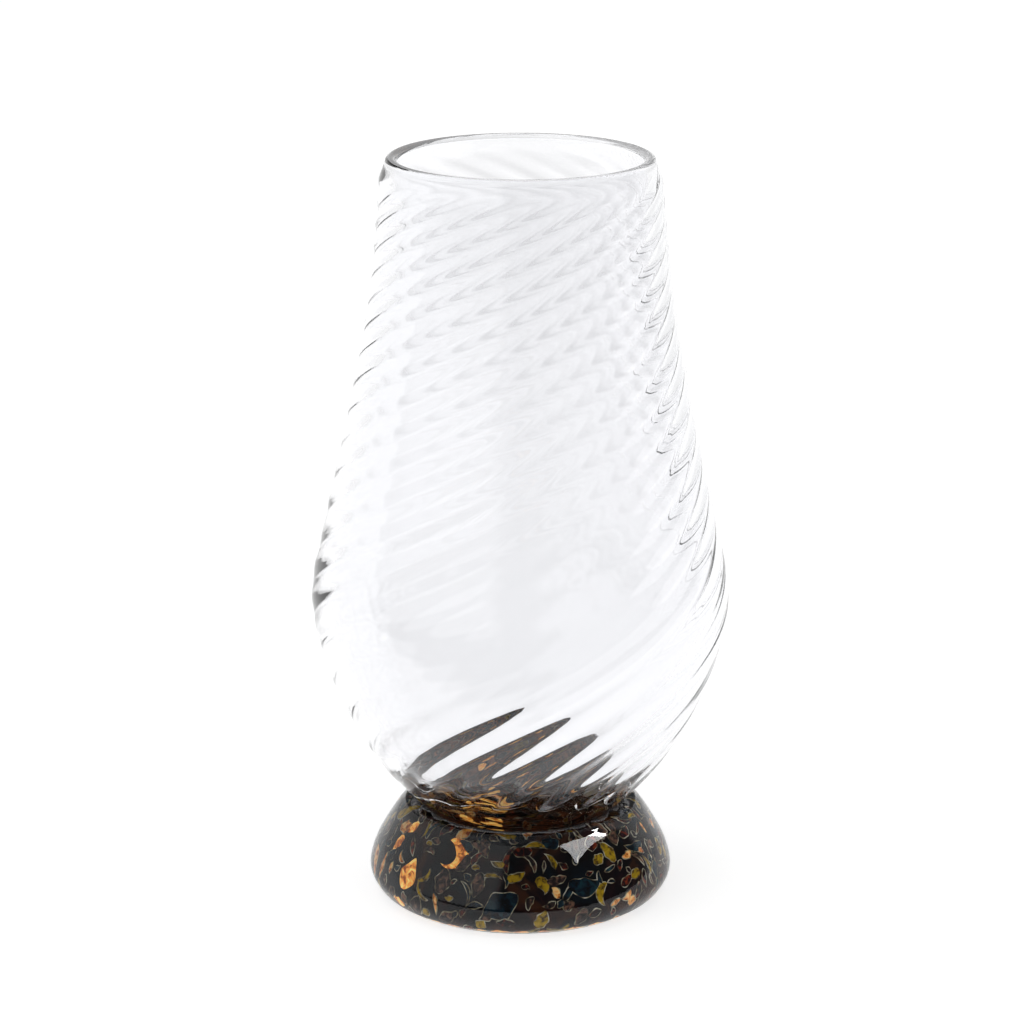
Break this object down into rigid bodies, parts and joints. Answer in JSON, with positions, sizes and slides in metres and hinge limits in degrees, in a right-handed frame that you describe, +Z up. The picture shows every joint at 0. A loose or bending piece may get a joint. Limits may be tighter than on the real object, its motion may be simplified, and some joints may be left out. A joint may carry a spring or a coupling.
{
  "type": "stemless tasting glass",
  "caption": "Hand-blown tulip-shaped tasting glass with twisted optic ribs on a heavy dark foot set with coloured glass frit.",
  "frame": {"origin": "centre of the flat underside of the foot", "axes": "+Z up along the axis of the glass, towards the rim; it is round about Z, so +X and +Y have no special meaning"},
  "size_m": [0.0662, 0.0662, 0.12],
  "materials": {
    "clear_glass": "clear, fire-polished",
    "casing_glass": "clear, fire-polished",
    "dark_glass": "near-black amethyst, glossy",
    "amber_frit": "translucent amber with a pale outline",
    "olive_frit": "olive-gold with a pale outline",
    "teal_frit": "dark teal with a pale outline",
    "oxblood_frit": "oxblood red with a pale outline",
    "bronze_frit": "grey-brown with a pale outline"
  },
  "bodies": {
    "root": {"bowl": "clear_glass", "foot_casing": "casing_glass", "foot_core": "dark_glass", "frit_amber": "amber_frit", "frit_olive": "olive_frit", "frit_teal": "teal_frit", "frit_oxblood": "oxblood_frit", "frit_bronze": "bronze_frit"}
  },
  "joints": []
}
